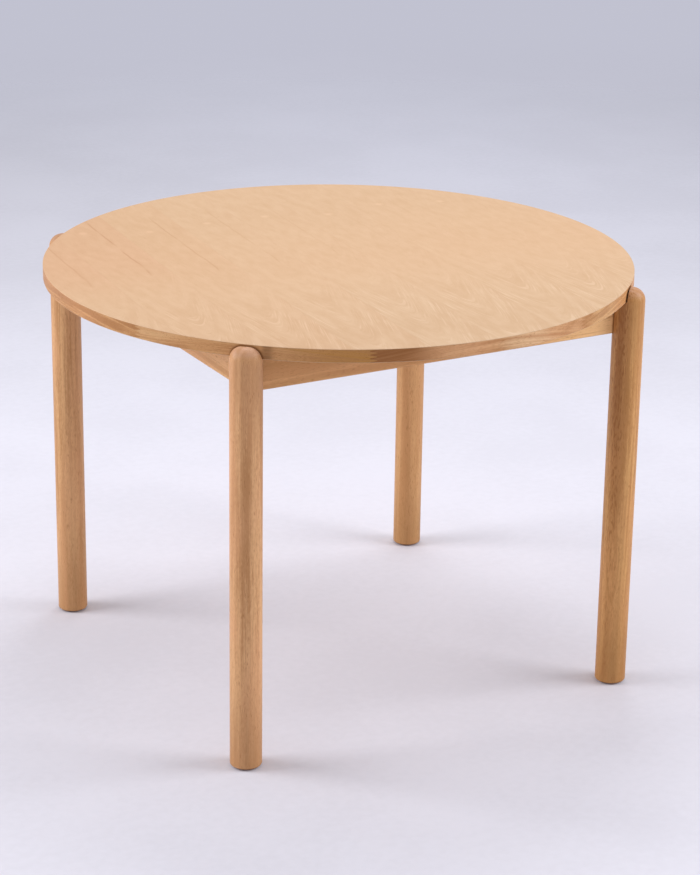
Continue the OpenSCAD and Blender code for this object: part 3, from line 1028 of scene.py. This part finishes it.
def floor_finish():
    finish = Finish("studio_floor")
    x, y = finish.along(RIGHTWARD), finish.along(BACKWARD)
    cloud = finish.noise(x * 2.2, y * 2.2, detail=4.0)
    grit = finish.noise(x * 60, y * 60, detail=2.0)
    body = finish.blend((cloud * 0.7 + grit * 0.3).between(0.35, 0.65), *FLOOR_TONES)
    paint = finish.add("ShaderNodeBsdfPrincipled", None, {"Base Color": body, "Roughness": 0.8})
    clear = finish.add("ShaderNodeBsdfTransparent")
    beneath = finish.add("ShaderNodeNewGeometry", output="Backfacing")
    far = ((x * x + y * y) ** 0.5).between(*FLOOR_FADE)
    share = beneath.math("MAXIMUM", far) * finish.looked_at()
    return finish.close(finish.add("ShaderNodeMixShader", None, {0: share, 1: paint, 2: clear}))


mesh = bpy.data.meshes.new("floor")
shape = bmesh.new()
bmesh.ops.create_circle(shape, cap_ends=True, radius=FLOOR_RADIUS, segments=96)
shape.to_mesh(mesh)
shape.free()
floor = bpy.data.objects.new("floor", mesh)
bpy.context.scene.collection.objects.link(floor)
mesh.materials.append(floor_finish())
print("floor", 2 * FLOOR_RADIUS, "m across")

# %% [markdown]
# ## The lamps
#
# A wide lamp overhead draws the soft ring of shadow between the feet. Two tall soft boxes at the left
# and the right brighten both flanks of each round leg, while its middle stays darker. A weak, slightly
# blue one lifts the floor behind the table.

# %% Hang the lamps
AIM = Vector((0.0, 0.0, 0.45))
FAR_FLOOR = 4.7


def soft_box(name, turn, height, distance, size, power, tone=(1.0, 1.0, 1.0), aim=AIM):
    """A rectangular lamp, aimed at the table. turn counts to the right from the camera's own heading."""
    data = bpy.data.lights.new(name, "AREA")
    data.shape = "RECTANGLE"
    data.size, data.size_y = size
    data.energy = power
    data.color = tone
    lamp = bpy.data.objects.new(name, data)
    place = turned_place(HEADING + turn, distance, height)
    aimed = (aim - place).to_track_quat("-Z", "Y").to_matrix().to_4x4()
    lamp.matrix_world = Matrix.Translation(place) @ aimed
    bpy.context.scene.collection.objects.link(lamp)


soft_box("lamp_overhead", turn=math.radians(10), height=2.9, distance=1.0, size=(1.0, 1.0), power=22.0)
soft_box("lamp_far_floor", turn=0.0, height=1.5, distance=FAR_FLOOR, size=(0.6, 4.0), power=7.0,
         tone=(0.94, 1.0, 1.12), aim=turned_place(HEADING, FAR_FLOOR))
soft_box("lamp_left", turn=math.radians(-95), height=2.3, distance=3.6, size=(2.2, 2.4), power=108.0)
soft_box("lamp_right", turn=math.radians(95), height=2.3, distance=3.6, size=(2.2, 2.4), power=90.0)
print("hung four lamps")

# %% [markdown]
# ## The world
#
# The rest of the light comes from all round, which the world gives. Together with the lamps it adds up
# to a plain level: a flat white card on the table would render white. To the eye, and in gloss and
# glass, the world has the tone of the backdrop instead.

# %% Light the world
WORLD_STRENGTH = 0.57
WORLD_TONE = colour(0.97, 0.98, 1.0)
BACKDROP_TONE = colour(0.535, 0.54, 0.635)

world = bpy.data.worlds.new("studio")
bpy.context.scene.world = world
studio = Graph(world)
ambient = studio.add("ShaderNodeBackground", None, {"Color": WORLD_TONE, "Strength": WORLD_STRENGTH})
backdrop = studio.add("ShaderNodeBackground", None, {"Color": BACKDROP_TONE})
either = studio.add("ShaderNodeMixShader", None, {0: studio.looked_at(), 1: ambient, 2: backdrop})
studio.add("ShaderNodeOutputWorld", None, {"Surface": either})
bpy.context.scene.view_settings.view_transform = "Standard"
print("the world lights with a strength of", WORLD_STRENGTH)
